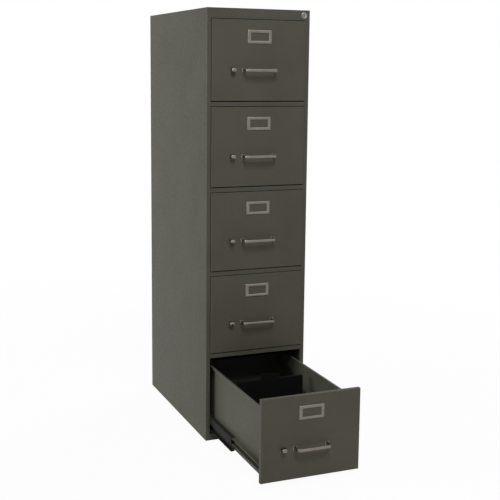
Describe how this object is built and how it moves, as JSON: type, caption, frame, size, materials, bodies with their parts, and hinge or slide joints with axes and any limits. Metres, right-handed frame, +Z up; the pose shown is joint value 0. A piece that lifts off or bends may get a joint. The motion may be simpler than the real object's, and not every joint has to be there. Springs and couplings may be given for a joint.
{
  "type": "vertical file cabinet",
  "caption": "Tall narrow sheet-steel file cabinet with stacked drawers on telescoping roller slides, bow pulls, thumb latches, label holders and a corner lock.",
  "frame": {"origin": "on the floor, in the middle of the case's front edge", "axes": "+X to the right seen from the front, +Y from the front to the back, +Z up"},
  "size_m": [0.381, 1.174, 1.524],
  "materials": {
    "case_paint": "satin enamel",
    "front_paint": "satin enamel",
    "tray_paint": "satin enamel",
    "follower_paint": "black enamel",
    "slide_steel": "dull, dark plated",
    "bright_metal": "satin bright",
    "lock_metal": "satin"
  },
  "bodies": {
    "case": {"side_panel_left": "case_paint", "side_panel_right": "case_paint", "back_panel": "case_paint", "top_panel": "case_paint", "header_rail": "case_paint", "cross_rails": "case_paint", "base_rails": "case_paint", "uprights_left": "case_paint", "uprights_right": "case_paint", "slide_channels_left": "slide_steel", "slide_channels_right": "slide_steel", "lock_housing": "lock_metal"},
    "lock_plug": {"lock_plug": "lock_metal"},
    "lock_bar": {"lock_bar": "slide_steel"},
    "drawer_1": {"drawer_1_front": "front_paint", "drawer_1_ends": "tray_paint", "drawer_1_tray": "tray_paint", "drawer_1_label_holder": "bright_metal", "drawer_1_pull": "bright_metal", "drawer_1_runners": "tray_paint"},
    "cradle_1": {"drawer_1_cradle": "slide_steel"},
    "latch_1": {"drawer_1_latch": "bright_metal"},
    "follower_1": {"drawer_1_follower": "follower_paint"},
    "drawer_2": {"drawer_2_front": "front_paint", "drawer_2_ends": "tray_paint", "drawer_2_tray": "tray_paint", "drawer_2_label_holder": "bright_metal", "drawer_2_pull": "bright_metal", "drawer_2_runners": "tray_paint"},
    "cradle_2": {"drawer_2_cradle": "slide_steel"},
    "latch_2": {"drawer_2_latch": "bright_metal"},
    "follower_2": {"drawer_2_follower": "follower_paint"},
    "drawer_3": {"drawer_3_front": "front_paint", "drawer_3_ends": "tray_paint", "drawer_3_tray": "tray_paint", "drawer_3_label_holder": "bright_metal", "drawer_3_pull": "bright_metal", "drawer_3_runners": "tray_paint"},
    "cradle_3": {"drawer_3_cradle": "slide_steel"},
    "latch_3": {"drawer_3_latch": "bright_metal"},
    "follower_3": {"drawer_3_follower": "follower_paint"},
    "drawer_4": {"drawer_4_front": "front_paint", "drawer_4_ends": "tray_paint", "drawer_4_tray": "tray_paint", "drawer_4_label_holder": "bright_metal", "drawer_4_pull": "bright_metal", "drawer_4_runners": "tray_paint"},
    "cradle_4": {"drawer_4_cradle": "slide_steel"},
    "latch_4": {"drawer_4_latch": "bright_metal"},
    "follower_4": {"drawer_4_follower": "follower_paint"},
    "drawer_5": {"drawer_5_front": "front_paint", "drawer_5_ends": "tray_paint", "drawer_5_tray": "tray_paint", "drawer_5_label_holder": "bright_metal", "drawer_5_pull": "bright_metal", "drawer_5_runners": "tray_paint"},
    "cradle_5": {"drawer_5_cradle": "slide_steel"},
    "latch_5": {"drawer_5_latch": "bright_metal"},
    "follower_5": {"drawer_5_follower": "follower_paint"}
  },
  "joints": [
    {"name": "lock_turn", "type": "hinge", "parent": "case", "child": "lock_plug", "pos_m": [0.168, 0, 1.506], "axis": [0, -1, 0], "range_deg": [0, 90]},
    {"name": "lock_bar_lift", "type": "slide", "parent": "case", "child": "lock_bar", "axis": [0, 0, 1], "range_m": [0, 0.006]},
    {"name": "drawer_1_slide", "type": "slide", "parent": "case", "child": "drawer_1", "axis": [0, -1, 0], "range_m": [0, 0.62]},
    {"name": "cradle_1_slide", "type": "slide", "parent": "case", "child": "cradle_1", "axis": [0, -1, 0], "range_m": [0, 0.31]},
    {"name": "latch_1_press", "type": "slide", "parent": "drawer_1", "child": "latch_1", "axis": [1, 0, 0], "range_m": [0, 0.008], "stiffness_N_per_m": 400, "springref_m": -0.004},
    {"name": "follower_1_slide", "type": "slide", "parent": "drawer_1", "child": "follower_1", "axis": [0, 1, 0], "range_m": [-0.29, 0.235]},
    {"name": "drawer_2_slide", "type": "slide", "parent": "case", "child": "drawer_2", "axis": [0, -1, 0], "range_m": [0, 0.62]},
    {"name": "cradle_2_slide", "type": "slide", "parent": "case", "child": "cradle_2", "axis": [0, -1, 0], "range_m": [0, 0.31]},
    {"name": "latch_2_press", "type": "slide", "parent": "drawer_2", "child": "latch_2", "axis": [1, 0, 0], "range_m": [0, 0.008], "stiffness_N_per_m": 400, "springref_m": -0.004},
    {"name": "follower_2_slide", "type": "slide", "parent": "drawer_2", "child": "follower_2", "axis": [0, 1, 0], "range_m": [-0.29, 0.235]},
    {"name": "drawer_3_slide", "type": "slide", "parent": "case", "child": "drawer_3", "axis": [0, -1, 0], "range_m": [0, 0.62]},
    {"name": "cradle_3_slide", "type": "slide", "parent": "case", "child": "cradle_3", "axis": [0, -1, 0], "range_m": [0, 0.31]},
    {"name": "latch_3_press", "type": "slide", "parent": "drawer_3", "child": "latch_3", "axis": [1, 0, 0], "range_m": [0, 0.008], "stiffness_N_per_m": 400, "springref_m": -0.004},
    {"name": "follower_3_slide", "type": "slide", "parent": "drawer_3", "child": "follower_3", "axis": [0, 1, 0], "range_m": [-0.29, 0.235]},
    {"name": "drawer_4_slide", "type": "slide", "parent": "case", "child": "drawer_4", "axis": [0, -1, 0], "range_m": [0, 0.62]},
    {"name": "cradle_4_slide", "type": "slide", "parent": "case", "child": "cradle_4", "axis": [0, -1, 0], "range_m": [0, 0.31]},
    {"name": "latch_4_press", "type": "slide", "parent": "drawer_4", "child": "latch_4", "axis": [1, 0, 0], "range_m": [0, 0.008], "stiffness_N_per_m": 400, "springref_m": -0.004},
    {"name": "follower_4_slide", "type": "slide", "parent": "drawer_4", "child": "follower_4", "axis": [0, 1, 0], "range_m": [-0.29, 0.235]},
    {"name": "drawer_5_slide", "type": "slide", "parent": "case", "child": "drawer_5", "axis": [0, -1, 0], "range_m": [-0.465, 0.155]},
    {"name": "cradle_5_slide", "type": "slide", "parent": "case", "child": "cradle_5", "axis": [0, -1, 0], "range_m": [-0.2325, 0.0775]},
    {"name": "latch_5_press", "type": "slide", "parent": "drawer_5", "child": "latch_5", "axis": [1, 0, 0], "range_m": [0, 0.008], "stiffness_N_per_m": 400, "springref_m": -0.004},
    {"name": "follower_5_slide", "type": "slide", "parent": "drawer_5", "child": "follower_5", "axis": [0, 1, 0], "range_m": [-0.29, 0.235]}
  ],
  "couplings": [
    {"joint": "lock_turn", "follows": "lock_bar_lift", "rad_per_m": 261.79},
    {"joint": "cradle_1_slide", "follows": "drawer_1_slide", "ratio": 0.5},
    {"joint": "cradle_2_slide", "follows": "drawer_2_slide", "ratio": 0.5},
    {"joint": "cradle_3_slide", "follows": "drawer_3_slide", "ratio": 0.5},
    {"joint": "cradle_4_slide", "follows": "drawer_4_slide", "ratio": 0.5},
    {"joint": "cradle_5_slide", "follows": "drawer_5_slide", "ratio": 0.5}
  ]
}
